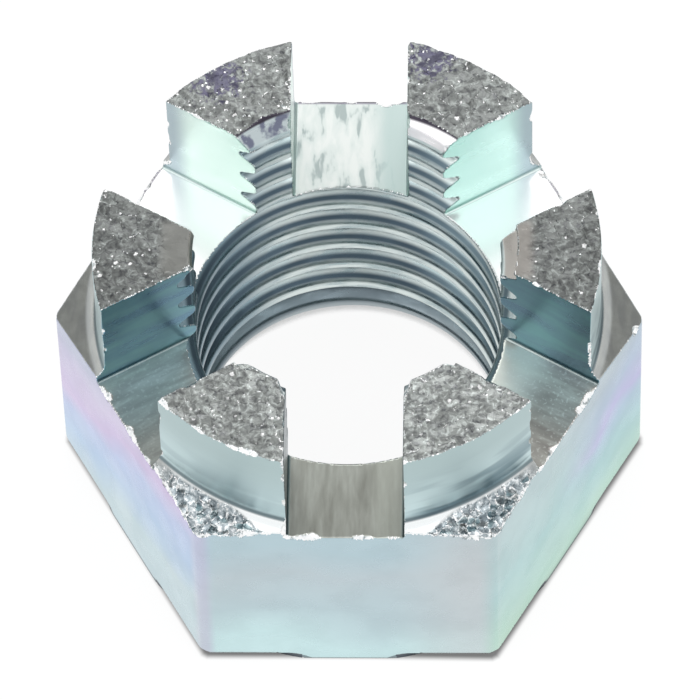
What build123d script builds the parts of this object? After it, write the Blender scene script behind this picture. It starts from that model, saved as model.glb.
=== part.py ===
from build123d import *
import math
import os

# Castle nut for a 3/8 in fine thread, one piece of plated steel.
# Millimetres. The origin is the middle of the bearing face, and +Z is the
# thread axis, pointing at the crown. Two flats face -Y and +Y, and each slot
# runs out through the middle of a flat.

# Hexagon
hexagon_sides = 6
across_flats = 14.29
hexagon_corner_radius = 0.3

# Crown turned on the end of the hexagon, just inside the flats, and the
# shoulder left round its foot. The shoulder falls outwards, and would meet
# sharp corners at corner_height.
height = 10.45
crown_relief = 0.095
crown_foot_radius = 0.4
corner_height = 6.72
shoulder_slope = 15.0

# Washer face turned on the bearing end, reaching just past the middle of each
# flat, and the bevel that takes the corners off above it
washer_face_height = 0.3
washer_face_overlap = 0.12
corner_bevel = 0.1
corner_bevel_slope = 60.0

# Slots for a split pin, milled straight across, two at a time
slot_passes = 3
slot_width = 3.25
slot_floor_height = 6.8

# Bore at the crests of the thread. Each countersink is wider than the bore
# by its own step on every side, and its angle is the whole cone's.
bore_diameter = 8.55
crown_countersink_step = 0.325
crown_countersink_angle = 60.0
bearing_countersink_step = 0.675
bearing_countersink_angle = 120.0

# How far a cutting tool reaches past the metal
tool_overrun = 1.0


def hexagon_bar():
    """Hexagon bar with rounded corners, cut to length."""
    section = RegularPolygon(across_flats / 2, hexagon_sides, major_radius=False)
    section = fillet(section.vertices(), hexagon_corner_radius)
    return extrude(section, height)


def turned_envelope():
    """What the lathe leaves: washer face, bevelled corners, sloping shoulder and crown."""
    flat_radius = across_flats / 2
    corner_reach = flat_radius / math.cos(math.pi / hexagon_sides)
    washer_face_radius = flat_radius + washer_face_overlap
    bevel_radius = corner_reach - corner_bevel
    rim_radius = corner_reach + tool_overrun
    bevel_top = washer_face_height + (rim_radius - bevel_radius) * math.tan(math.radians(corner_bevel_slope))
    fall = math.tan(math.radians(shoulder_slope))
    rim_height = corner_height - tool_overrun * fall
    crown_radius = flat_radius - crown_relief
    foot_height = corner_height + (corner_reach - crown_radius) * fall
    outline = Polyline(
        (0, 0),
        (washer_face_radius, 0),
        (washer_face_radius, washer_face_height),
        (bevel_radius, washer_face_height),
        (rim_radius, bevel_top),
        (rim_radius, rim_height),
        (crown_radius, foot_height),
        (crown_radius, height),
        (0, height),
        close=True,
    )
    profile = make_face(Plane.XZ * outline)
    foot = profile.vertices().sort_by_distance((crown_radius, 0, foot_height))[0]
    profile = fillet(foot, crown_foot_radius)
    return revolve(profile, Axis.Z)


def countersink(step, angle):
    """Cone on the end of the bore, its mouth on the XY plane and opening along +Z."""
    bore_radius = bore_diameter / 2
    spread = math.tan(math.radians(angle / 2))
    depth = step / spread
    length = depth + tool_overrun
    outer_radius = bore_radius + length * spread
    cone = Cone(bore_radius, outer_radius, length, align=(Align.CENTER, Align.CENTER, Align.MIN))
    return Pos(0, 0, -depth) * cone


def bore_tool():
    """Drill through at the minor diameter, with a countersink at each end."""
    drill = Pos(0, 0, height / 2) * Cylinder(bore_diameter / 2, height + 2 * tool_overrun)
    crown_end = Pos(0, 0, height) * countersink(crown_countersink_step, crown_countersink_angle)
    bearing_end = Rot(180, 0, 0) * countersink(bearing_countersink_step, bearing_countersink_angle)
    return drill + crown_end + bearing_end


def slot_cutters():
    """Square-bottomed cutters across the crown, each through two opposite flats."""
    travel = across_flats + 2 * tool_overrun
    depth = height - slot_floor_height + tool_overrun
    cutter = Box(travel, slot_width, depth, align=(Align.CENTER, Align.CENTER, Align.MIN))
    first_flat = 180 / hexagon_sides
    step = 180 / slot_passes
    return [
        Pos(0, 0, slot_floor_height) * Rot(0, 0, first_flat + index * step) * cutter
        for index in range(slot_passes)
    ]


def castle_nut():
    """The whole nut, in the order the real one is cut."""
    nut = hexagon_bar() & turned_envelope()
    nut -= bore_tool()
    for cutter in slot_cutters():
        nut -= cutter
    return nut


os.makedirs("parts", exist_ok=True)
export_step(castle_nut(), "parts/castle_nut.step")
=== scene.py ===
import math

import bmesh
import bpy
import numpy as np
from mathutils import Matrix, Vector


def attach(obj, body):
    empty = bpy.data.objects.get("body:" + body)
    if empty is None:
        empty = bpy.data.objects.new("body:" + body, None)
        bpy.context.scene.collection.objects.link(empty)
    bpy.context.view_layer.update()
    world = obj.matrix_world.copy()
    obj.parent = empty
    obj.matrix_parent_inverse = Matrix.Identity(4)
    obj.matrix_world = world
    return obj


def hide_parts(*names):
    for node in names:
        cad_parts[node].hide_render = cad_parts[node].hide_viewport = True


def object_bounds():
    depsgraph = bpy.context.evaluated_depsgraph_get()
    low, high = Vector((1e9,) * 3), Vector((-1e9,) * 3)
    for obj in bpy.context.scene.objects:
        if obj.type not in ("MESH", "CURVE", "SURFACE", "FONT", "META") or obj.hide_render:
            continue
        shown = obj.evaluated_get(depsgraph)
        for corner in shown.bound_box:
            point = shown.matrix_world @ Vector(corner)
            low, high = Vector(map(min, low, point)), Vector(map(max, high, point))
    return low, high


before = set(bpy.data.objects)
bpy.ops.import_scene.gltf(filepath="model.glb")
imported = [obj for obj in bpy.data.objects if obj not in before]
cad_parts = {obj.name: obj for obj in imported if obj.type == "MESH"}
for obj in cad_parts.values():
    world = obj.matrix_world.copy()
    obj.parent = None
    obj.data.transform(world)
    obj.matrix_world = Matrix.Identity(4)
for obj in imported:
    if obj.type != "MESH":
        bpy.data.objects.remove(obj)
cad_box = [list(corner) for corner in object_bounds()]

# Driving dimensions, in millimetres and degrees, as the solid has them
ACROSS_FLATS = 14.29
CORNER_SOFTNESS = 0.15      # rounds a 120 degree corner as a 0.3 fillet does
HEIGHT = 10.45
CROWN_RADIUS = ACROSS_FLATS / 2 - 0.095
CROWN_FOOT_RADIUS = 0.4
CORNER_HEIGHT = 6.72
SHOULDER_SLOPE = 15.0
WASHER_FACE_HEIGHT = 0.3
WASHER_FACE_OVERLAP = 0.12
CORNER_BEVEL = 0.1
CORNER_BEVEL_SLOPE = 60.0
SLOT_WIDTH = 3.25
SLOT_FLOOR = 6.8
CROWN_SINK_RADIUS = 4.6
CROWN_SINK_ANGLE = 60.0
BEARING_SINK_RADIUS = 4.95
BEARING_SINK_ANGLE = 120.0

# Radii that the solid doesn't have: under the corners where the washer face meets them, along the
# slots' floors, and on every outer edge
WASHER_FACE_FOOT = 0.12
SLOT_CORNER_RADIUS = 0.08
EDGE_SOFTNESS = 0.03

# Thread, 24 turns to the inch, right-handed
PITCH = 25.4 / 24
CREST_RADIUS = 4.275
ROOT_RADIUS = 4.7625
ROOT_FLAT = PITCH / 8
THREAD_START = 6.565        # height of a crest's middle on the +X side
THREAD_FLANK = 30.0
CREST_SOFTNESS = 0.1
ROOT_SOFTNESS = 0.04

# Which way three of the flats face, and which way the slots run
FLAT_TURNS = (90, 30, 150)
SLOT_TURNS = (30, 90, 150)

# The shoulder's lean in the photograph: how much it rises for each millimetre along X and Y
SHOULDER_TILT = (-0.006, -0.013)

# The crest broken away under the front slot: how far round, in degrees, its heights and its depth
BREAK_ROUND = (22, 34)
BREAK_BOTTOM = (5.6, 5.9)
BREAK_TOP = (6.9, 7.1)
BREAK_DEPTH = 0.8

# Crown's countersink: burred over on the side segments, and worn to a wider cone on the left rear one
BURR_DEPTH = 0.2
BURR_ROUND = (24, 48)
WORN_TURN = 120
WORN_ROUND = (24, 32)
WORN_SINK_RADIUS = CROWN_SINK_RADIUS + 0.35
WORN_SINK_ANGLE = 90.0

# The torn shoulder begins this far outside the crown, and nearer to it past the middle of the front
TEAR_START = 0.50
TEAR_SPREAD = 0.44
TEAR_SIDES = (1.7, 3.2)
TEAR_FRONT = (4.6, 5.6)
TEAR_FADE = 0.12

# Where the inner tips of the crown's side segments are rubbed smooth, along X and across it
TIP_ALONG = (4.95, 5.3)
TIP_ACROSS = (0.7, 1.1)

# The small dent in the top edge, near the right-hand corner
NICK_PLACE = (8.02, -0.36, 6.66)
NICK_RADIUS = 0.13

CORNER_REACH = ACROSS_FLATS / 2 / math.cos(math.radians(30))
MM = 0.001                  # metres in a millimetre

# How finely the nut is meshed: the grid's pitch, how near the surface the small damage is worked out,
# the furthest that a corner moves to settle, how far inside a face its normals are read, and the
# number of triangles kept. Metal further than CHIP_GAP from every surface belongs to a broken edge.
GRID_PITCH = 0.05
DETAIL_REACH = 0.25
SETTLE_STRIDE = 0.03
NORMAL_INSET = 0.05
TRIANGLES = 190000
CHIP_GAP = 0.013
CELL_CORNERS = [(a, b, c) for a in (0, 1) for b in (0, 1) for c in (0, 1)]
FINISHES = ["flats", "turned", "end", "bearing", "thread"]
FINISHES += ["slot_%d" % turn for turn in SLOT_TURNS] + ["rim"]


def wrap(value, period):
    """Value brought to within half a period of zero."""
    return value - period * np.round(value / period)


def both(a, b, radius):
    """Distance to what lies inside both shapes, the edge between them rounded."""
    corner = np.hypot(np.maximum(a + radius, 0), np.maximum(b + radius, 0))
    return np.minimum(np.maximum(a, b), -radius) + corner


def chipped(a, b, radius, chip):
    """The same, with the edge broken back along both faces by that much."""
    return np.maximum(both(a, b, radius), (a + b + chip) * math.sqrt(0.5))


def either(a, b, radius):
    """Distance to what lies inside either shape, the corner between them filled."""
    corner = np.hypot(np.maximum(radius - a, 0), np.maximum(radius - b, 0))
    return np.maximum(np.minimum(a, b), radius) - corner


def lattice_value(i, j, k, seed):
    """A repeatable random number from -1 to 1 at each point of a whole-number lattice."""
    n = (i * 73856093) ^ (j * 19349663) ^ (k * 83492791) ^ (seed * 2654435761)
    n = (n ^ (n >> 13)) * 1274126177 & 0xFFFFFFFF
    n = (n ^ (n >> 16)) * 2246822519 & 0xFFFFFFFF
    return ((n ^ (n >> 15)) & 0xFFFF) / 32767.5 - 1


def noise(x, y, z, size, seed):
    """Smooth noise from -1 to 1, with lumps about that size."""
    cells = [np.floor(v / size).astype(np.int64) for v in (x, y, z)]
    blends = []
    for v, cell in zip((x, y, z), cells):
        t = v / size - cell
        blends.append(t * t * (3 - 2 * t))
    total = 0
    for corner in CELL_CORNERS:
        weight = 1
        for step, blend in zip(corner, blends):
            weight = weight * (blend if step else 1 - blend)
        i, j, k = (cell + step for cell, step in zip(cells, corner))
        total = total + weight * lattice_value(i, j, k, seed)
    return total


def within(mask, function, *arrays):
    """The function's values where the mask is set, and zero elsewhere."""
    values = np.zeros(mask.shape)
    if mask.any():
        values[mask] = function(*(array[mask] for array in arrays))
    return values


def rise(value, low, high):
    """Smooth step from 0 at the low value to 1 at the high one."""
    t = np.clip((value - low) / (high - low), 0, 1)
    return t * t * (3 - 2 * t)


def hexagon(x, y):
    """Distance from the hexagon's six flats."""
    slabs = []
    for angle in FLAT_TURNS:
        turn = math.radians(angle)
        slabs.append(np.abs(x * math.cos(turn) + y * math.sin(turn)) - ACROSS_FLATS / 2)
    return both(both(slabs[0], slabs[1], CORNER_SOFTNESS), slabs[2], CORNER_SOFTNESS)


def shoulder(radius, z):
    """Distance above the shoulder that slopes from the crown's foot to the corners."""
    slope = math.radians(SHOULDER_SLOPE)
    return (z - CORNER_HEIGHT - (CORNER_REACH - radius) * math.tan(slope)) * math.cos(slope)


def bearing_end(radius, z):
    """Distance outside the washer face, and the bevel above it."""
    slope = math.radians(CORNER_BEVEL_SLOPE)
    beyond = radius - (CORNER_REACH - CORNER_BEVEL)
    above = z - WASHER_FACE_HEIGHT
    under = np.maximum(-above, beyond * math.sin(slope) - above * math.cos(slope))
    disc = radius - ACROSS_FLATS / 2 - WASHER_FACE_OVERLAP
    return np.maximum(either(under, disc, WASHER_FACE_FOOT), -z)


def thread(radius, angle, z):
    """Distance inside the threaded wall: the metal is where this is negative."""
    along = wrap(z - THREAD_START - PITCH * angle / (2 * math.pi), PITCH)
    lean = math.tan(math.radians(THREAD_FLANK))
    crest_flat = PITCH - ROOT_FLAT - 2 * (ROOT_RADIUS - CREST_RADIUS) * lean
    half_width = crest_flat / 2 + (radius - CREST_RADIUS) * lean
    flank = (np.abs(along) - half_width) * math.cos(math.radians(THREAD_FLANK))
    ridge = both(CREST_RADIUS - radius, flank, CREST_SOFTNESS)
    aside = np.abs(wrap(np.degrees(angle) + 90, 360))
    broken = (1 - rise(aside, *BREAK_ROUND)) * rise(z, *BREAK_BOTTOM) * (1 - rise(z, *BREAK_TOP))
    ridge = ridge + BREAK_DEPTH * broken
    return either(ROOT_RADIUS - radius, ridge, ROOT_SOFTNESS)


def countersink(radius, depth, mouth_radius, angle):
    """Distance inside a countersink: negative is metal. Depth is measured down from its mouth."""
    half = math.radians(angle / 2)
    return (mouth_radius - depth * math.tan(half) - radius) * math.cos(half)


def worn_countersink(radius, angle, depth):
    """Distance inside the crown's countersink: burred over at the sides, worn wide at the left rear."""
    burr = BURR_DEPTH * (1 - rise(np.abs(wrap(np.degrees(angle), 180)), *BURR_ROUND))
    sink = countersink(radius, depth, CROWN_SINK_RADIUS - burr, CROWN_SINK_ANGLE)
    aside = np.abs(wrap(np.degrees(angle) - WORN_TURN, 360))
    worn = countersink(radius, depth, WORN_SINK_RADIUS, WORN_SINK_ANGLE) - 2 * rise(aside, *WORN_ROUND)
    return both(sink, worn, 0.05)


def facets(x, y, size, lean, seed):
    """Height of a surface broken into small facets that lean at random."""
    i, j = np.floor(x / size).astype(np.int64), np.floor(y / size).astype(np.int64)
    nearest = np.full(x.shape, 1e9)
    height = np.zeros(x.shape)
    for a in (-1, 0, 1):
        for b in (-1, 0, 1):
            toss = [lattice_value(i + a, j + b, k, seed) for k in range(4)]
            beside = x - (i + a + 0.5 + 0.45 * toss[0]) * size
            behind = y - (j + b + 0.5 + 0.45 * toss[1]) * size
            gap = np.hypot(beside, behind)
            height = np.where(gap < nearest, lean * (toss[2] * beside + toss[3] * behind), height)
            nearest = np.minimum(gap, nearest)
    return height


def broken_end(x, y):
    """Height of the broken metal on the crown's end, never above zero."""
    flat = 0 * x
    lumps = 0.030 * noise(x, y, flat, 0.50, 1) + 0.018 * noise(x, y, flat, 0.25, 4)
    lumps = lumps + 0.010 * noise(x, y, flat, 0.13, 3) + facets(x, y, 0.36, 0.10, 2)
    beside = 1 - rise(np.abs(y), 2.0, 3.2)
    inner_tip = (1 - rise(np.abs(x), *TIP_ALONG)) * (1 - rise(np.abs(y), *TIP_ACROSS))
    return np.minimum(lumps * (1 - 0.35 * beside) * (1 - 0.85 * inner_tip) - 0.055, -0.001)


def torn_shoulder(x, y):
    """Height of the torn metal on the shoulder, at the two front corners only."""
    whole = CROWN_RADIUS + TEAR_START - TEAR_SPREAD * rise(np.abs(x), *TEAR_SIDES)
    mask = rise(np.hypot(x, y), whole, whole + TEAR_FADE) * rise(-y, *TEAR_FRONT)
    return mask * (facets(x, y, 0.22, 0.6, 5) + 0.04 * noise(x, y, 0 * x, 0.3, 6))


def chips(x, y, z, size, width, seed):
    """How far an edge is broken back: patches with whole edge between them."""
    return width * rise(noise(x, y, z, size, seed), -0.1, 0.7)


def nick(x, y, z):
    """Distance outside the small dent in the top edge."""
    return NICK_RADIUS - np.sqrt(sum((v - middle) ** 2 for v, middle in zip((x, y, z), NICK_PLACE)))


def surfaces(x, y, z, detail):
    """Distance outside each surface before they are joined, by the name of its finish."""
    radius = np.hypot(x, y)
    angle = np.arctan2(y, x)
    slope = shoulder(radius, z - SHOULDER_TILT[0] * x - SHOULDER_TILT[1] * y)
    end = z - HEIGHT
    if detail:
        slope = slope - within((slope > -0.3) & (radius > CROWN_RADIUS) & (y < -4), torn_shoulder, x, y)
        end = end - within(end > -0.4, broken_end, x, y)
    bore = thread(radius, angle, z)
    bore = both(bore, worn_countersink(radius, angle, HEIGHT - z), 0.02)
    bore = both(bore, countersink(radius, z, BEARING_SINK_RADIUS, BEARING_SINK_ANGLE), 0.02)
    parts = {
        "flats": hexagon(x, y),
        "turned": either(radius - CROWN_RADIUS, slope, CROWN_FOOT_RADIUS),
        "end": end,
        "bearing": bearing_end(radius, z),
        "thread": bore,
    }
    for turn in SLOT_TURNS:
        across = y * math.cos(math.radians(turn)) - x * math.sin(math.radians(turn))
        side = SLOT_WIDTH / 2 - np.abs(across)
        parts["slot_%d" % turn] = either(side, z - SLOT_FLOOR, SLOT_CORNER_RADIUS)
    return parts


def nut(x, y, z, detail=True):
    """Signed distance to the whole nut: negative inside the metal."""
    parts = surfaces(x, y, z, detail)
    rim = slot_chip = corner_chip = 0
    if detail:
        high = z > HEIGHT - 0.6
        outer = parts["turned"] > -0.5
        rim = within(high & outer, lambda *p: chips(*p, 0.50, 0.15, 7), x, y, z)
        rim = rim * (1 - 0.65 * rise(y, -1, 2))
        edge = outer | (parts["flats"] > -0.5)
        slot_chip = within(high | edge, lambda *p: chips(*p, 0.33, 0.10, 8), x, y, z)
        floor_edge = (np.abs(z - SLOT_FLOOR) < 0.5) & (parts["flats"] > -0.6)
        slot_chip = slot_chip + within(floor_edge, lambda *p: chips(*p, 0.42, 0.11, 10), x, y, z)
        tips = high & (y < -3.5) & (np.abs(x) < 3)
        slot_chip = slot_chip + within(tips, lambda *p: 0.22 * (1 - rise(np.hypot(*p), 4.5, 5.3)), x, y)
        corner_chip = within(edge & (y < -5), lambda *p: 0.04 + chips(*p, 0.24, 0.08, 9), x, y, z)
    metal = chipped(parts["flats"], parts["turned"], EDGE_SOFTNESS, corner_chip)
    metal = both(metal, parts["bearing"], EDGE_SOFTNESS)
    metal = chipped(metal, parts["end"], EDGE_SOFTNESS, rim)
    metal = both(metal, parts["thread"], EDGE_SOFTNESS)
    for turn in SLOT_TURNS:
        metal = chipped(metal, parts["slot_%d" % turn], EDGE_SOFTNESS, slot_chip)
    if detail:
        metal = both(metal, nick(x, y, z), EDGE_SOFTNESS)
    return metal


def sample_grid(pitch):
    """The field on a regular grid around the nut, worked out in slabs."""
    margin = 3 * pitch
    low = np.array([-CORNER_REACH - margin, -ACROSS_FLATS / 2 - margin, -margin])
    high = np.array([CORNER_REACH + margin, ACROSS_FLATS / 2 + margin, HEIGHT + margin])
    count = np.ceil((high - low) / pitch).astype(int) + 1
    axes = [low[i] + pitch * np.arange(count[i]) for i in range(3)]
    field = np.empty(tuple(count), np.float32)
    x, y = np.meshgrid(axes[0], axes[1], indexing="ij")
    for k, level in enumerate(axes[2]):
        slab = nut(x, y, np.full_like(x, level), detail=False)
        near = np.abs(slab) < DETAIL_REACH
        slab[near] = nut(x[near], y[near], np.full(near.sum(), level))
        field[:, :, k] = slab
    return low, field


def crossed_cells(field):
    """The cells of the grid that the surface runs through."""
    inside = field < 0
    total = np.zeros([n - 1 for n in field.shape], np.uint8)
    for a, b, c in CELL_CORNERS:
        total += inside[a:a + total.shape[0], b:b + total.shape[1], c:c + total.shape[2]]
    return np.argwhere((total > 0) & (total < len(CELL_CORNERS)))


def untangle(field):
    """Moves grid points across the surface where two sheets of it would share an edge."""
    pairs = []
    for i, one in enumerate(CELL_CORNERS):
        for j, two in enumerate(CELL_CORNERS):
            if i < j and sum(a != b for a, b in zip(one, two)) >= 2:
                pairs.append((i, j))
    for _ in range(8):
        cells = crossed_cells(field)
        places = np.stack([cells + corner for corner in CELL_CORNERS], 1)
        values = field[tuple(np.moveaxis(places, 2, 0))]
        inside = values < 0
        tangled = np.zeros(len(cells), bool)
        for i, j in pairs:
            between = [k for k, corner in enumerate(CELL_CORNERS) if k not in (i, j) and all(
                c in (a, b) for a, b, c in zip(CELL_CORNERS[i], CELL_CORNERS[j], corner))]
            for state in (True, False):
                alike = (inside[:, i] == state) & (inside[:, j] == state)
                tangled |= alike & np.all(inside[:, between] != state, axis=1)
        if not tangled.any():
            return
        nearest = np.argmin(np.abs(values[tangled]), axis=1)
        chosen = places[tangled][np.arange(len(nearest)), nearest]
        chosen = tuple(np.unique(chosen, axis=0).T)
        field[chosen] = -field[chosen]


def surface_net(low, pitch, field):
    """Closed quad mesh on the field's zero level, one corner in each cell that it crosses."""
    inside = field < 0
    shape = np.array(field.shape) - 1
    cells = crossed_cells(field)
    index = np.full(tuple(shape), -1, np.int32)
    index[tuple(cells.T)] = np.arange(len(cells))
    values = {offset: field[tuple((cells + offset).T)].astype(float) for offset in CELL_CORNERS}
    place = np.zeros((len(cells), 3))
    crossings = np.zeros(len(cells))
    for start in CELL_CORNERS:
        for axis in range(3):
            if start[axis]:
                continue
            end = tuple(1 if i == axis else start[i] for i in range(3))
            a, b = values[start], values[end]
            crossed = (a < 0) != (b < 0)
            t = np.where(crossed, a / np.where(crossed, a - b, 1), 0)
            point = np.tile(np.array(start, float), (len(cells), 1))
            point[:, axis] += t
            place += np.where(crossed[:, None], point, 0)
            crossings += crossed
    points = low + pitch * (cells + place / crossings[:, None])

    quads = []
    for axis in range(3):
        one, two = [i for i in range(3) if i != axis]
        step = np.zeros(3, int)
        step[axis] = 1
        first = inside[tuple(slice(0, n - s) for n, s in zip(field.shape, step))]
        second = inside[tuple(slice(s, n) for n, s in zip(field.shape, step))]
        edges = np.argwhere(first != second)
        leaving = first[tuple(edges.T)]
        ring = []
        for a, b in ((-1, -1), (0, -1), (0, 0), (-1, 0)):
            cell = edges.copy()
            cell[:, one] += a
            cell[:, two] += b
            ring.append(index[tuple(cell.T)])
        ring = np.stack(ring, 1)
        flip = leaving if axis == 1 else ~leaving
        ring[flip] = ring[flip][:, ::-1]
        quads.append(ring)
    return points, np.concatenate(quads)


def field_slope(points, step=0.004):
    """The field's value and slope at each point, from the corners of a small tetrahedron."""
    corners = step * np.array([(1, -1, -1), (-1, -1, 1), (-1, 1, -1), (1, 1, 1)])
    values = [nut(*(points + corner).T) for corner in corners]
    slope = sum(value[:, None] * corner for value, corner in zip(values, corners)) / (4 * step ** 2)
    return sum(values) / 4, slope


def settle(points, rounds=2):
    """Points moved onto the nut's surface."""
    for _ in range(rounds):
        value, slope = field_slope(points)
        steepness = np.maximum((slope ** 2).sum(1), 0.25)
        move = (value / steepness)[:, None] * slope
        points = points - np.clip(move, -SETTLE_STRIDE, SETTLE_STRIDE)
    return points


def unit(vectors):
    """The same directions, each of length 1."""
    return vectors / np.maximum(np.linalg.norm(vectors, axis=1, keepdims=True), 1e-9)


def new_mesh(name, points, quads):
    """A linked object of those corners, in metres, and four-sided faces."""
    mesh = bpy.data.meshes.new(name)
    mesh.vertices.add(len(points))
    mesh.vertices.foreach_set("co", (points * MM).astype(np.float32).ravel())
    mesh.loops.add(quads.size)
    mesh.loops.foreach_set("vertex_index", quads.astype(np.int32).ravel())
    mesh.polygons.add(len(quads))
    mesh.polygons.foreach_set("loop_start", np.arange(0, quads.size, 4, dtype=np.int32))
    mesh.update(calc_edges=True)
    piece = bpy.data.objects.new(name, mesh)
    bpy.context.scene.collection.objects.link(piece)
    return piece


def thin_out(piece, triangles):
    """Fewer triangles, taken from where the surface is flat."""
    modifier = piece.modifiers.new("thin_out", "DECIMATE")
    modifier.use_collapse_triangulate = True
    modifier.ratio = min(1, triangles / (2 * len(piece.data.polygons)))
    bpy.context.view_layer.objects.active = piece
    piece.select_set(True)
    bpy.ops.object.modifier_apply(modifier=modifier.name)


def mend(piece):
    """Takes out loose crumbs of metal, and closes up edges left with more than two faces."""
    mesh = bmesh.new()
    mesh.from_mesh(piece.data)
    found = set()
    lumps = []
    for start in mesh.verts:
        if start in found:
            continue
        found.add(start)
        lump = [start]
        for corner in lump:
            beside = [edge.other_vert(corner) for edge in corner.link_edges]
            beside = [other for other in beside if other not in found]
            found.update(beside)
            lump.extend(beside)
        lumps.append(lump)
    for crumb in sorted(lumps, key=len)[:-1]:
        bmesh.ops.delete(mesh, geom=crumb, context="VERTS")
    bmesh.ops.collapse(mesh, edges=[edge for edge in mesh.edges if len(edge.link_faces) > 2])
    mesh.to_mesh(piece.data)
    mesh.free()


def mesh_points(piece):
    """The mesh's corners, in millimetres."""
    flat = np.empty(3 * len(piece.data.vertices), np.float32)
    piece.data.vertices.foreach_get("co", flat)
    return flat.reshape(-1, 3).astype(float) / MM


def corner_normals(piece):
    """The field's direction at each face corner, read just inside the face, and each face's middle."""
    mesh = piece.data
    points = mesh_points(piece)
    count = len(mesh.loops)
    corners = np.empty(count, np.int32)
    mesh.loops.foreach_get("vertex_index", corners)
    triangles = points[corners].reshape(-1, 3, 3)
    middles = np.repeat(triangles.mean(1), 3, axis=0)
    toward = middles - points[corners]
    length = np.linalg.norm(toward, axis=1, keepdims=True)
    places = points[corners] + toward * np.minimum(0.3, NORMAL_INSET / np.maximum(length, 1e-6))
    return unit(field_slope(places)[1]), middles[::3]


def finish_index(points):
    """Which finish each point has: the surface that it lies nearest to, or a broken edge's."""
    parts = surfaces(*points.T, True)
    gaps = np.abs([parts[name] for name in FINISHES if name != "rim"])
    return np.where(gaps.min(0) > CHIP_GAP, FINISHES.index("rim"), gaps.argmin(0))


def keep_inside(piece, box):
    """Puts back the corners that rounding left a hair outside the box, which is in metres."""
    flat = np.empty(3 * len(piece.data.vertices), np.float32)
    piece.data.vertices.foreach_get("co", flat)
    low, high = np.array(box, np.float32)
    piece.data.vertices.foreach_set("co", np.clip(flat.reshape(-1, 3), low, high).ravel())
    piece.data.update()


def make_nut():
    """The finished nut's mesh, with a finish's index on each face."""
    pitch = GRID_PITCH
    low, field = sample_grid(pitch)
    untangle(field)
    points, quads = surface_net(low, pitch, field)
    piece = new_mesh("castle_nut_finished", settle(points), quads)
    thin_out(piece, TRIANGLES)
    mend(piece)
    keep_inside(piece, cad_box)
    normals, middles = corner_normals(piece)
    piece.data.polygons.foreach_set("use_smooth", [True] * len(piece.data.polygons))
    piece.data.normals_split_custom_set(normals.tolist())
    piece.data.polygons.foreach_set("material_index", finish_index(middles).astype(np.int32))
    return piece


def srgb(red, green, blue):
    """A colour read off a screen, 0 to 255, as the light it stands for."""
    shares = [value / 255 for value in (red, green, blue)]
    return tuple(s / 12.92 if s <= 0.04045 else ((s + 0.055) / 1.055) ** 2.4 for s in shares) + (1.0,)


class Nodes:
    """Short ways to add nodes to a tree: each input is linked to an output or set to a value."""

    def __init__(self, tree):
        self.tree = tree

    def node(self, kind, inputs, **settings):
        node = self.tree.nodes.new(kind)
        for name, value in settings.items():
            setattr(node, name, value)
        for key, value in inputs.items():
            if isinstance(value, bpy.types.NodeSocket):
                self.tree.links.new(value, node.inputs[key])
            else:
                node.inputs[key].default_value = value
        return node

    def math(self, operation, *values):
        return self.node("ShaderNodeMath", dict(enumerate(values)), operation=operation).outputs[0]

    def step(self, value, low, high, start=0.0, end=1.0):
        """Smooth step of a value, from start at the low value to end at the high one."""
        inputs = {"Value": value, "From Min": low, "From Max": high, "To Min": start, "To Max": end}
        return self.node("ShaderNodeMapRange", inputs, interpolation_type="SMOOTHSTEP").outputs[0]

    def blend(self, factor, first, second, kind="MIX"):
        inputs = {"Fac": factor, "Color1": first, "Color2": second}
        return self.node("ShaderNodeMixRGB", inputs, blend_type=kind).outputs[0]


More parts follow.
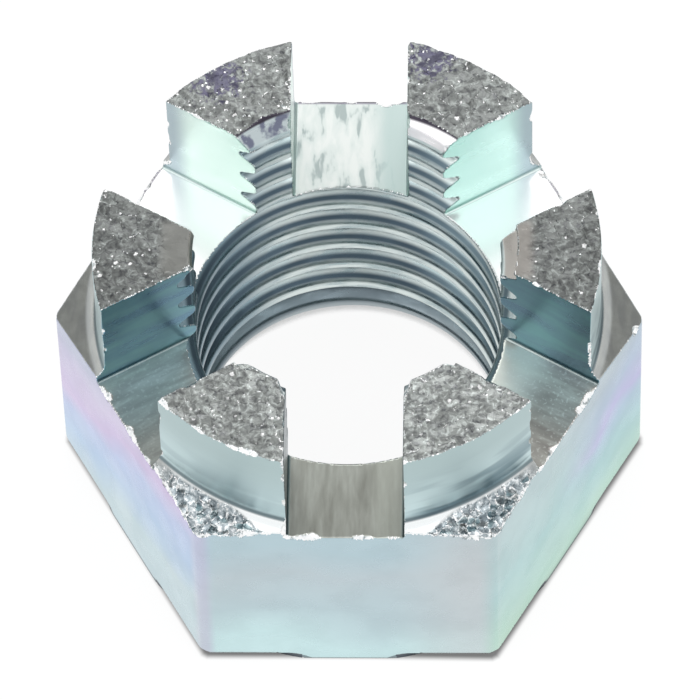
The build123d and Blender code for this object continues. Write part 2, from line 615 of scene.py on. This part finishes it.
class Finish(Nodes):
    """One material, metal at first. Its lengths are in millimetres."""

    def __init__(self, name, roughness, turn=0):
        self.material = bpy.data.materials.new(name)
        self.material.use_nodes = True
        super().__init__(self.material.node_tree)
        self.shader = self.tree.nodes["Principled BSDF"]
        self.shader.inputs["Metallic"].default_value = 1.0
        self.shader.inputs["Roughness"].default_value = roughness
        inputs = {0: self.node("ShaderNodeTexCoord", {}).outputs["Object"], 1: (1 / MM,) * 3}
        place = self.node("ShaderNodeVectorMath", inputs, operation="MULTIPLY").outputs[0]
        if turn:
            place = self.node("ShaderNodeVectorRotate", {"Vector": place, "Angle": -math.radians(turn)},
                              rotation_type="Z_AXIS").outputs[0]
        self.place = place
        axes = self.node("ShaderNodeSeparateXYZ", {0: place}).outputs
        self.x, self.y, self.z = axes[0], axes[1], axes[2]
        self.radius = self.math("SQRT", self.math("ADD", self.math("MULTIPLY", self.x, self.x),
                                                  self.math("MULTIPLY", self.y, self.y)))

    def noise(self, size, detail=2.0, stretch=(1, 1, 1), rough=0.5, warp=0.0, shift=0.0):
        """Noise with lumps of that size, longer by the stretch along each axis."""
        scale = tuple(1 / (size * s) for s in stretch)
        inputs = {0: self.place, 1: scale, 2: (shift, shift, shift)}
        place = self.node("ShaderNodeVectorMath", inputs, operation="MULTIPLY_ADD").outputs[0]
        inputs = {"Vector": place, "Scale": 1.0, "Detail": detail, "Roughness": rough, "Distortion": warp}
        return self.node("ShaderNodeTexNoise", inputs).outputs[0]

    def cells(self, size, shift=0.0, output="Distance"):
        """Cells of that size around scattered points: the distance to the nearest, or its own colour."""
        inputs = {0: self.place, 1: (1 / size,) * 3, 2: (shift, shift, shift)}
        place = self.node("ShaderNodeVectorMath", inputs, operation="MULTIPLY_ADD").outputs[0]
        return self.node("ShaderNodeTexVoronoi", {"Vector": place, "Scale": 1.0}).outputs[output]

    def spots(self, size, radius, share, shift=0.0):
        """Scattered ragged spots: one in each cell of that size, in a share of the cells."""
        ragged = self.math("MULTIPLY", self.math("SUBTRACT", self.noise(radius), 0.5), 2.4 * radius / size)
        away = self.math("ADD", self.cells(size, shift=shift), ragged)
        near = self.step(away, radius / size, 0.55 * radius / size)
        colour = self.cells(size, shift=shift, output="Color")
        toss = self.node("ShaderNodeSeparateXYZ", {0: colour}).outputs[0]
        return self.math("MULTIPLY", near, self.math("LESS_THAN", toss, share))

    def ramp(self, value, *stops):
        """Colours along a value: each stop is its place and its colour."""
        node = self.node("ShaderNodeValToRGB", {0: value})
        elements = node.color_ramp.elements
        while len(elements) < len(stops):
            elements.new(0.5)
        for element, (place, colour) in zip(elements, stops):
            element.position = place
            element.color = colour
        return node.outputs[0]

    def paint(self, colour, roughness=None, height=None, depth=0.0):
        """Links the colour, and where they vary the roughness and the bump, depth in millimetres."""
        self.tree.links.new(colour, self.shader.inputs["Base Color"])
        if roughness is not None:
            self.tree.links.new(roughness, self.shader.inputs["Roughness"])
        if height is not None:
            inputs = {"Height": height, "Strength": 1.0, "Distance": depth * MM}
            bump = self.node("ShaderNodeBump", inputs)
            self.tree.links.new(bump.outputs[0], self.shader.inputs["Normal"])
        return self.material


def flats_finish():
    """Drawn bar under a clear blue passivation, whose faint rainbow slants across the side flats."""
    f = Finish("plated_flats", 0.28)
    drift = f.math("MULTIPLY", f.math("SUBTRACT", f.noise(4.0, detail=1.5), 0.5), 0.5)
    film = f.math("ADD", f.math("DIVIDE", f.z, 7.2), drift)
    forward = f.math("MULTIPLY", f.y, math.cos(math.radians(30)))
    half_x = f.math("MULTIPLY", f.x, 0.5)
    along_left = f.math("SUBTRACT", half_x, forward)
    along_right = f.math("ADD", half_x, forward)
    left_film = f.math("SUBTRACT", film, f.math("MULTIPLY", f.math("ADD", along_left, 2.5), 0.075))
    left = f.ramp(left_film,
                  (0.02, srgb(196, 218, 224)), (0.28, srgb(180, 206, 234)), (0.46, srgb(186, 202, 236)),
                  (0.60, srgb(208, 192, 228)), (0.74, srgb(206, 196, 226)), (0.95, srgb(186, 192, 214)))
    violet = f.ramp(film,
                    (0.05, srgb(184, 222, 206)), (0.36, srgb(168, 208, 212)), (0.50, srgb(174, 200, 220)),
                    (0.58, srgb(190, 190, 228)), (0.70, srgb(178, 196, 218)), (0.95, srgb(180, 196, 206)))
    mint = f.ramp(film,
                  (0.05, srgb(184, 222, 202)), (0.5, srgb(172, 210, 210)), (0.95, srgb(186, 204, 208)))
    right = f.blend(f.step(along_right, -1.0, 2.2), mint, violet)
    front = f.ramp(film,
                   (0.1, srgb(204, 232, 234)), (0.35, srgb(190, 210, 216)), (0.65, srgb(192, 206, 212)),
                   (0.9, srgb(184, 206, 214)))
    front = f.blend(f.math("MULTIPLY", f.step(f.x, 1.0, 3.6), 0.6), front, srgb(202, 206, 208))
    colour = f.blend(f.step(f.x, -3.6, -4.4), f.blend(f.step(f.x, 3.6, 4.4), front, right), left)
    from_edge = f.math("ABSOLUTE", f.math("ADD", f.x, 4.05))
    blush = f.math("MULTIPLY", f.step(from_edge, 0.35, 0.05), 0.6)
    colour = f.blend(blush, colour, srgb(198, 194, 214))
    cloud = f.step(f.noise(1.1, detail=4), 0.35, 0.65, 0.94, 0.99)
    colour = f.blend(1.0, colour, cloud, "MULTIPLY")
    # Painted shade: a dark band along the foot of the flats, taller on the side flats and away from each
    # flat's middle, where the washer face is undercut
    lower = f.step(f.math("ABSOLUTE", f.x), 3.8, 4.4, 0.05, 0.15)
    aside = f.math("MINIMUM", f.math("ABSOLUTE", along_left), f.math("ABSOLUTE", along_right))
    aside = f.math("MINIMUM", f.math("ABSOLUTE", f.x), aside)
    lower = f.math("MAXIMUM", lower, f.step(aside, 0.9, 1.35, 0.0, 0.2))
    painted_foot_shade = f.math("LESS_THAN", f.z, lower)
    colour = f.blend(f.math("MULTIPLY", painted_foot_shade, 0.75), colour, srgb(92, 102, 110))
    drawn = f.noise(0.12, detail=3, stretch=(1, 1, 14))
    gloss = f.step(f.noise(1.4, detail=3, shift=3.0), 0.3, 0.7, 0.22, 0.32)
    return f.paint(colour, gloss, drawn, 0.0003)


def turned_finish():
    """Crown wall with turning streaks, its foot and the shoulder."""
    f = Finish("plated_turned", 0.22)
    streak = f.noise(0.55, detail=2, stretch=(5, 5, 1), rough=0.4, shift=2.0)
    low = f.step(f.z, 9.9, 7.6)
    # Painted reflection: the lower wall darkened in streaks, more to the right, where it mirrors the torn
    # shoulder
    painted_shoulder_reflection = f.math("MULTIPLY", f.step(streak, 0.44, 0.60), low)
    clear = f.blend(low, srgb(180, 200, 201), srgb(204, 225, 227))
    wall = f.blend(f.math("MULTIPLY", painted_shoulder_reflection, f.step(f.x, 1.5, 2.5, 0.3, 1.0)), clear, srgb(128, 152, 160))
    beyond = f.math("SUBTRACT", f.radius, CROWN_RADIUS)
    front = f.step(f.y, -4.8, -5.6)
    aside = f.step(f.math("ABSOLUTE", f.x), *TEAR_SIDES)
    past = f.math("ADD", beyond, f.math("MULTIPLY", aside, TEAR_SPREAD))
    fleck = f.noise(0.26, detail=4, rough=0.7, shift=2.0, warp=0.4)
    torn = f.ramp(fleck,
                  (0.38, srgb(100, 110, 116)), (0.45, srgb(138, 148, 153)), (0.53, srgb(172, 181, 185)),
                  (0.63, srgb(246, 249, 250)))
    grain = f.noise(0.25, detail=2, stretch=(1, 4, 4), shift=4.0)
    smooth = f.blend(f.step(grain, 0.35, 0.65), srgb(172, 175, 174), srgb(184, 187, 184))
    start, end = TEAR_START - 0.02, TEAR_START + 0.08
    ledge = f.blend(f.math("MULTIPLY", front, f.step(past, start, end)), smooth, torn)
    ledge = f.blend(f.math("MULTIPLY", front, f.step(past, end, start)), ledge, srgb(250, 253, 253))
    shade = f.math("MULTIPLY", f.step(beyond, 0.0, 0.03), f.step(beyond, 0.09, 0.05))
    colour = f.blend(f.step(beyond, 0.04, 0.08), wall, ledge)
    colour = f.blend(f.math("MULTIPLY", shade, 0.75), colour, srgb(70, 84, 92))
    gloss = f.step(beyond, 0.02, 0.10, 0.36, f.step(fleck, 0.4, 0.6, 0.20, 0.26))
    return f.paint(colour, gloss, streak, 0.0004)


def end_finish():
    """The crown's broken, crumpled end, dull with painted glints on raised crests, rubbed smooth at the
    side tips.
    """
    f = Finish("plated_end", 0.35)
    swirl = f.noise(0.18, detail=3, rough=0.6, warp=0.8)
    dull = f.ramp(swirl,
                  (0.30, srgb(112, 114, 116)), (0.46, srgb(140, 143, 142)), (0.56, srgb(154, 158, 156)),
                  (0.68, srgb(196, 202, 200)))
    dark = f.step(f.noise(0.20, detail=2, shift=12.0), 0.38, 0.32)
    colour = f.blend(f.math("MULTIPLY", dark, 0.6), dull, srgb(74, 76, 82))
    # Painted light: the end's colour scaled by where each segment stands, brighter on the front and rear
    # segments than at the sides
    level = f.math("ADD", f.step(f.y, -3.6, -2.6, 1.12, 0.66), f.step(f.y, 2.6, 3.6, 0.0, 0.13))
    right_front = f.math("MULTIPLY", f.step(f.x, 0.0, 2.0), f.step(f.y, -2.6, -3.6))
    level = f.math("ADD", level, f.math("MULTIPLY", right_front, 0.12))
    colour = f.blend(1.0, colour, level, "MULTIPLY")
    for x, y, reach in ((-3.7, 5.6, 0.8), (2.3, 6.3, 0.7)):
        beside = f.math("POWER", f.math("SUBTRACT", f.x, x), 2.0)
        behind = f.math("POWER", f.math("SUBTRACT", f.y, y), 2.0)
        away = f.math("SQRT", f.math("ADD", beside, behind))
        away = f.math("ADD", away, f.step(swirl, 0.3, 0.7, -0.4, 0.4))
        colour = f.blend(f.step(away, reach, 0.3, 0.0, 0.7), colour, srgb(80, 76, 104))
    # Painted glints: scattered white dots, also raised as small bumps, kept off the rubbed tips
    painted_glints = f.math("MAXIMUM", f.spots(0.46, 0.07, 0.6, shift=3.0), f.spots(0.30, 0.045, 0.6, shift=8.0))
    along = f.step(f.math("ABSOLUTE", f.x), TIP_ALONG[1], TIP_ALONG[0])
    tip = f.math("MULTIPLY", along, f.step(f.math("ABSOLUTE", f.y), TIP_ACROSS[1], TIP_ACROSS[0]))
    painted_glints = f.math("MULTIPLY", painted_glints, f.math("SUBTRACT", 1.0, tip))
    rubbed = f.blend(f.step(f.x, -1.0, 1.0), srgb(133, 134, 131), srgb(152, 149, 145))
    colour = f.blend(tip, f.blend(painted_glints, colour, srgb(255, 255, 255)), rubbed)
    height = f.math("ADD", swirl, f.math("MULTIPLY", painted_glints, 0.9))
    height = f.math("MULTIPLY", height, f.math("SUBTRACT", 1.0, f.math("MULTIPLY", tip, 0.8)))
    return f.paint(colour, f.step(swirl, 0.4, 0.6, 0.30, 0.42), height, 0.014)


def rim_finish():
    """Edges that broke or burred over: bare metal, painted near white as a painted highlight along them."""
    f = Finish("plated_rim", 0.3)
    mottle = f.noise(0.14, detail=2)
    colour = f.ramp(mottle,
                    (0.34, srgb(160, 168, 170)), (0.44, srgb(240, 244, 244)), (0.52, srgb(255, 255, 255)))
    return f.paint(colour, None, mottle, 0.004)


def slot_finish(turn):
    """One pass of the slots: smooth sides and milled floors, stained in front, chalky but for turn 90, with
    painted light and shade.
    """
    f = Finish("plated_slot_%d" % turn, 0.2, turn)
    mark = f.noise(0.8, detail=2, stretch=(3, 1, 0.8))
    rear = f.step(f.x, -1.0, 1.0)
    reach = f.math("ABSOLUTE", f.x)
    # Painted shade and light: the sides at each slot's front end painted darker, those at its rear end
    # paler
    if turn == 90:
        shaded_side = srgb(124, 137, 142)
        lit_side = srgb(240, 255, 250)
    elif turn == 30:
        shaded_side = f.ramp(mark, (0.35, srgb(114, 152, 174)), (0.6, srgb(136, 182, 190)))
        lit_side = srgb(196, 229, 222)
    else:
        shaded_side = f.ramp(mark, (0.35, srgb(84, 118, 135)), (0.6, srgb(100, 144, 152)))
        lit_side = srgb(217, 237, 229)
    side = f.blend(rear, shaded_side, lit_side)
    # Painted shade: the rear sides greyed towards their outer ends
    outer = f.math("MULTIPLY", f.step(reach, 6.0, 6.7), rear)
    side = f.blend(f.math("MULTIPLY", outer, 0.8), side, srgb(158, 173, 184))
    mill = f.noise(0.22, detail=3, stretch=(7, 1, 1), rough=0.55)
    smear = f.noise(0.30, detail=3, stretch=(3, 1, 1), warp=0.3, shift=4.0)
    if turn == 90:
        rear_floor = f.ramp(smear,
                       (0.34, srgb(138, 148, 147)), (0.42, srgb(174, 181, 179)), (0.6, srgb(184, 188, 186)))
        rear_floor = f.blend(f.step(f.y, -0.4, -1.1, 0.0, 0.9), rear_floor, srgb(152, 167, 165))
        stained = f.ramp(f.blend(0.4, mill, smear),
                         (0.3, srgb(152, 154, 147)), (0.5, srgb(176, 179, 172)), (0.7, srgb(198, 203, 196)))
        stained = f.blend(f.step(f.y, -0.5, -1.1, 0.0, 0.4), stained, srgb(206, 212, 202))
    else:
        # Painted light: the rear floors of turns 30 and 150 painted white
        rear_floor = srgb(254, 255, 255)
        stained = f.ramp(f.blend(0.5, mill, smear),
                         (0.3, srgb(156, 151, 147)), (0.5, srgb(180, 178, 172)), (0.7, srgb(220, 223, 216)))
        if turn == 30:
            stained = f.blend(0.4, stained, srgb(110, 128, 128))
        else:
            stained = f.blend(f.step(reach, 6.2, 5.0, 0.0, 0.8), stained, srgb(246, 252, 244))
        speckled = 0.12 if turn == 30 else 0.35
        speck = f.step(f.noise(0.10, detail=2, shift=6.0), 0.56, 0.66, 0.0, speckled)
        stained = f.blend(speck, stained, srgb(250, 255, 250))
    rim = f.math("MULTIPLY", f.step(reach, ACROSS_FLATS / 2 - 0.12, ACROSS_FLATS / 2 - 0.06), rear)
    rear_floor = f.blend(f.math("MULTIPLY", rim, 0.8), rear_floor, srgb(112, 106, 120))
    ground = f.blend(rear, stained, rear_floor)
    level = f.step(f.z, SLOT_FLOOR + 0.05, SLOT_FLOOR + 0.02)
    colour = f.blend(level, side, ground)
    beside = f.step(f.math("ABSOLUTE", f.y), SLOT_WIDTH / 2 - 0.10, SLOT_WIDTH / 2 - 0.06)
    crease = f.math("MULTIPLY", beside, f.step(f.z, SLOT_FLOOR + 0.09, SLOT_FLOOR + 0.06))
    shade = f.blend(rear, srgb(118, 140, 144), srgb(172, 196, 192))
    colour = f.blend(f.math("MULTIPLY", crease, 0.6), colour, shade)
    gloss = f.step(level, 0.0, 1.0, f.step(mark, 0.3, 0.7, 0.26, 0.34), 0.28)
    if turn != 90:
        f.tree.links.new(f.step(level, 0.0, 1.0, 1.0, 0.7), f.shader.inputs["Metallic"])
    height = f.blend(level, mark, mill)
    return f.paint(colour, gloss, height, 0.001)


def thread_finish():
    """Thread and countersinks: bright crests and roots, with painted shade on the flanks between them."""
    f = Finish("plated_thread", 0.3)
    streak = f.noise(0.3, detail=3, stretch=(3, 3, 0.5))
    left = f.step(f.x, -1.6, -3.6)
    bright = f.ramp(streak, (0.35, srgb(176, 192, 194)), (0.6, srgb(226, 236, 234)))
    bright = f.blend(left, bright, srgb(132, 153, 163))
    # Painted shade: the flanks darkened between crest and root, darker towards the left
    flank = f.math("MULTIPLY", f.step(f.radius, 4.27, 4.40), f.step(f.radius, 4.60, 4.45))
    flank = f.math("MULTIPLY", flank, f.step(f.z, 10.0, 9.7))
    lowest = f.step(f.z, 1.15, 0.95)
    dark = f.blend(f.step(f.x, 1.5, 3.5), srgb(64, 78, 88), srgb(98, 116, 124))
    shaded = f.blend(f.step(f.z, 0.75, 0.45), srgb(118, 131, 138), srgb(166, 176, 180))
    colour = f.blend(lowest, f.blend(flank, bright, dark), shaded)
    worn = f.noise(0.36, detail=3, shift=11.0)
    worn = f.ramp(worn, (0.38, srgb(116, 120, 138)), (0.50, srgb(188, 198, 200)))
    sink = f.blend(f.step(f.x, -1.0, 1.0), worn, srgb(246, 244, 246))
    tips = f.blend(f.step(f.x, -1.0, 1.0), srgb(158, 156, 150), srgb(200, 196, 190))
    sink = f.blend(f.step(f.math("ABSOLUTE", f.y), 2.0, 1.2), sink, tips)
    colour = f.blend(f.step(f.z, 9.95, 10.0), colour, sink)
    # Painted shade: a dark line just below the crown's end on the rear countersink, under its burred edge
    step = f.math("MULTIPLY", f.step(f.z, HEIGHT - 0.15, HEIGHT - 0.10), f.step(f.y, 1.5, 3.0))
    colour = f.blend(step, colour, srgb(64, 60, 70))
    return f.paint(colour, f.step(streak, 0.35, 0.65, 0.26, 0.38), f.noise(0.08, detail=3), 0.0008)


def bearing_finish():
    """Faced underside, with fine rings left by the tool, painted dark as painted shade round its side where
    it meets the floor.
    """
    f = Finish("plated_bearing_face", 0.3)
    ring = f.math("SINE", f.math("MULTIPLY", f.radius, 2 * math.pi / 0.12))
    cloud = f.noise(0.8, detail=3)
    colour = f.ramp(cloud, (0.35, srgb(168, 182, 188)), (0.65, srgb(196, 206, 210)))
    colour = f.blend(f.step(f.z, 0.01, 0.03), colour, srgb(82, 90, 98))
    height = f.math("ADD", f.math("MULTIPLY", ring, 0.3), f.noise(0.1, detail=3))
    return f.paint(colour, None, height, 0.003)


def finish_nut(piece):
    """One material for each finish, in the order of their indices."""
    makers = {"flats": flats_finish, "turned": turned_finish, "end": end_finish,
              "bearing": bearing_finish, "thread": thread_finish, "rim": rim_finish}
    for name in FINISHES:
        kind, _, turn = name.partition("_")
        piece.data.materials.append(slot_finish(int(turn)) if turn else makers[kind]())


# Camera, as the photograph was taken
CAMERA_TARGET = Vector((0, 0, 5.0 * MM))
CAMERA_DISTANCE = 257.2 * MM
CAMERA_ELEVATION = math.radians(58.92)
CAMERA_AZIMUTH = math.radians(2.467)
CAMERA_ROLL = math.radians(-1.953)
CAMERA_LENS = 470.1


def make_camera():
    """The camera that took the photograph."""
    data = bpy.data.cameras.new("camera")
    data.lens = CAMERA_LENS
    data.sensor_width = 36
    data.clip_start = 0.01
    camera = bpy.data.objects.new("camera", data)
    flat = math.cos(CAMERA_ELEVATION)
    east, south = math.sin(CAMERA_AZIMUTH), math.cos(CAMERA_AZIMUTH)
    back = Vector((east * flat, -south * flat, math.sin(CAMERA_ELEVATION)))
    right = Vector((south, east, 0))
    up = back.cross(right)
    level = Matrix((right, up, back)).transposed()
    camera.matrix_world = Matrix.Translation(CAMERA_TARGET + CAMERA_DISTANCE * back) @ (
        level @ Matrix.Rotation(CAMERA_ROLL, 3, "Z")).to_4x4()
    bpy.context.scene.collection.objects.link(camera)
    bpy.context.scene.camera = camera


def shown_white(nodes):
    """1 for the rays that show the background: camera, glossy and transmission."""
    path = nodes.node("ShaderNodeLightPath", {}).outputs
    seen = nodes.math("MAXIMUM", path["Is Camera Ray"], path["Is Glossy Ray"])
    return nodes.math("MAXIMUM", seen, path["Is Transmission Ray"])


# Floor: how white it shows itself, besides the light that it returns, where nothing shades it,
# under the nut's corners and against the edge of the bore
FLOOR_SIZE = 4.0
FLOOR_RETURNS = 0.10
FLOOR_WHITE = 0.92
FOOT_SHADE = 0.16
BORE_SHADE = 0.55

# Where the foot's shade starts to fade and where it ends, from the flats, and how much further it
# reaches on the right. Round the corners it ends short of their sharp points.
FOOT_SHADE_EDGES = (-0.15, 0.08)
FOOT_SHADE_RIGHT = 0.06
CORNER_LOSS = 0.05

# Inside this radius, in millimetres, the floor is shaded by what stands within reach of it instead,
# fading between these shares of open sky
BORE_FLOOR = 5.0
BORE_REACH = 0.4 * MM
BORE_SKY = (0.49, 0.61)


def make_floor():
    """White floor, shaded where the nut stands on it."""
    bpy.ops.mesh.primitive_plane_add(size=FLOOR_SIZE, location=(0, 0, 0))
    floor = bpy.context.object
    floor.name = "floor"
    f = Finish("white_floor", 0.9)
    f.shader.inputs["Metallic"].default_value = 0.0
    f.shader.inputs["Base Color"].default_value = (FLOOR_RETURNS,) * 3 + (1,)
    f.shader.inputs["Specular IOR Level"].default_value = 0.0
    reach = f.math("SUBTRACT", f.radius, CORNER_REACH - CORNER_LOSS - ACROSS_FLATS / 2)
    for angle in FLAT_TURNS:
        turn = math.radians(angle)
        across = f.math("MULTIPLY", f.x, math.cos(turn))
        across = f.math("ADD", across, f.math("MULTIPLY", f.y, math.sin(turn)))
        reach = f.math("MAXIMUM", reach, f.math("ABSOLUTE", across))
    reach = f.math("SUBTRACT", reach, f.step(f.x, 0.0, 6.0, 0.0, FOOT_SHADE_RIGHT))
    fade, end = [ACROSS_FLATS / 2 + edge for edge in FOOT_SHADE_EDGES]
    beside = f.step(reach, fade, end, FOOT_SHADE, FLOOR_WHITE)
    sky = f.node("ShaderNodeAmbientOcclusion", {"Distance": BORE_REACH}, samples=8).outputs["AO"]
    inside = f.step(sky, *BORE_SKY, BORE_SHADE, FLOOR_WHITE)
    white = f.step(f.math("LESS_THAN", f.radius, BORE_FLOOR), 0.0, 1.0, beside, inside)
    glow = f.node("ShaderNodeEmission", {"Strength": f.math("MULTIPLY", shown_white(f), white)})
    add = f.node("ShaderNodeAddShader", {0: f.shader.outputs[0], 1: glow.outputs[0]})
    f.tree.links.new(add.outputs[0], f.tree.nodes["Material Output"].inputs["Surface"])
    floor.data.materials.append(f.material)


# Room: its own white, its horizon's, the dimmer part high behind the nut, and the brighter part that
# the corners of the rear slots mirror, left and right. Each part fades between two values of a
# direction's share along Z or Y, or along the way that the slots look.
ROOM_WHITE = (0.95, 0.96, 0.97, 1)
ROOM_HORIZON = (1, 1, 1, 1)
ROOM_DIM = (0.40, 0.40, 0.39, 1)
ROOM_BRIGHT = (1.7, 1.7, 1.7, 1)
HORIZON_FADE = (0.06, 0.20)
DIM_LOWER_FADE = (0.30, 0.55)
DIM_UPPER_FADE = (0.93, 0.985)
DIM_BEHIND_FADE = (0.10, 0.35)
BRIGHT_FADE = (0.88, 0.97)
REAR_SLOTS_LOOK = (0.457, -0.238, 0.857)


def make_world():
    """Pale room, white at the horizon, dimmer behind the nut, and brighter where the rear slots look."""
    world = bpy.data.worlds.new("world")
    bpy.context.scene.world = world
    world.use_nodes = True
    w = Nodes(world.node_tree)
    place = w.node("ShaderNodeTexCoord", {}).outputs["Generated"]
    x, y, z = w.node("ShaderNodeSeparateXYZ", {0: place}).outputs
    horizon = w.step(w.math("ABSOLUTE", z), *HORIZON_FADE, 1.0, 0.0)
    room = w.blend(horizon, ROOM_WHITE, ROOM_HORIZON)
    high = w.math("MULTIPLY", w.step(z, *DIM_LOWER_FADE), w.step(z, *DIM_UPPER_FADE, 1.0, 0.0))
    room = w.blend(w.math("MULTIPLY", w.step(y, *DIM_BEHIND_FADE), high), room, ROOM_DIM)
    toward = w.math("MULTIPLY", w.math("ABSOLUTE", x), REAR_SLOTS_LOOK[0])
    toward = w.math("ADD", toward, w.math("MULTIPLY", y, REAR_SLOTS_LOOK[1]))
    toward = w.math("ADD", toward, w.math("MULTIPLY", z, REAR_SLOTS_LOOK[2]))
    room = w.blend(w.step(toward, *BRIGHT_FADE), room, ROOM_BRIGHT)
    w.tree.links.new(room, w.tree.nodes["Background"].inputs["Color"])


# Soft light: its height, how far behind the nut's axis its near edge is, its width and length,
# and how bright it looks
SOFTBOX_HEIGHT = 46.0 * MM
SOFTBOX_NEAR = 24.0 * MM
SOFTBOX_SIZE = (36.0 * MM, 60.0 * MM)
SOFTBOX_LEVEL = 1.8


def make_softbox():
    """Soft light above and behind, which the rear slot floors mirror."""
    data = bpy.data.lights.new("softbox", "AREA")
    data.shape = "RECTANGLE"
    data.size, data.size_y = SOFTBOX_SIZE
    data.energy = SOFTBOX_LEVEL * math.pi * SOFTBOX_SIZE[0] * SOFTBOX_SIZE[1]
    lamp = bpy.data.objects.new("softbox", data)
    lamp.location = (0, SOFTBOX_NEAR + SOFTBOX_SIZE[1] / 2, SOFTBOX_HEIGHT)
    lamp.visible_camera = False
    bpy.context.scene.collection.objects.link(lamp)


piece = make_nut()
finish_nut(piece)
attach(piece, "root")
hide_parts("castle_nut")
make_camera()
make_floor()
make_world()
make_softbox()
bpy.context.scene.view_settings.view_transform = "Standard"
